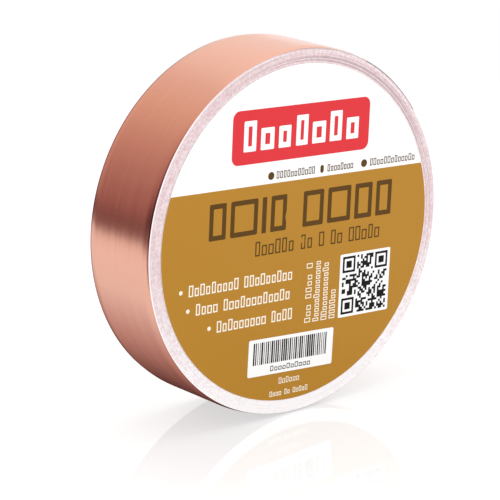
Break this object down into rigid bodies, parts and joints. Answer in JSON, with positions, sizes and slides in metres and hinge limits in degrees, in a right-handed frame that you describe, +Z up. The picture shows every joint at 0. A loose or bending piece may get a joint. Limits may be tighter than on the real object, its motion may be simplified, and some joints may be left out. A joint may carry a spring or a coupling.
{
  "type": "copper foil tape roll",
  "caption": "Roll of adhesive copper foil tape with a paper release liner, wound on a paperboard core, with a round paper label over one side and a free end that lifts and parts from its liner.",
  "frame": {"origin": "middle of the core's bore, on its axis, half way across the tape's width", "axes": "+Y along the core's axis and out of its open rear end, the label faces -Y, +Z up as the roll stands on its rim"},
  "size_m": [0.1004, 0.0257, 0.1005],
  "materials": {
    "core_board": "plain",
    "core_glue": "matt",
    "liner_paper": "smooth",
    "tape_adhesive": "satin",
    "copper": "satin rolled copper",
    "label_adhesive": "satin",
    "label_paper": "semi-gloss print",
    "sticker_paper": "smooth"
  },
  "bodies": {
    "roll": {"core_ply_1": "core_board", "core_ply_2": "core_board", "core_ply_3": "core_board", "core_ply_4": "core_board", "core_ply_5": "core_board", "core_ply_6": "core_board", "core_glue": "core_glue", "release_liner": "liner_paper", "adhesive_film": "tape_adhesive", "copper_foil": "copper", "foil_outer_turn": "copper", "label_adhesive": "label_adhesive", "front_label": "label_paper", "sticker_adhesive": "label_adhesive", "barcode_sticker": "sticker_paper"},
    "tape_end": {"foil_tail": "copper", "adhesive_tail": "tape_adhesive"},
    "liner_end": {"liner_tail": "liner_paper"}
  },
  "joints": [
    {"name": "tail_lift", "type": "hinge", "parent": "roll", "child": "tape_end", "pos_m": [0.02422, 0, 0.04417], "axis": [0, -1, 0], "range_deg": [0, 75]},
    {"name": "liner_lift", "type": "hinge", "parent": "roll", "child": "liner_end", "pos_m": [0.02418, 0, 0.04409], "axis": [0, -1, 0], "range_deg": [0, 37.5]}
  ],
  "couplings": [
    {"joint": "liner_lift", "follows": "tail_lift", "ratio": 0.5}
  ]
}
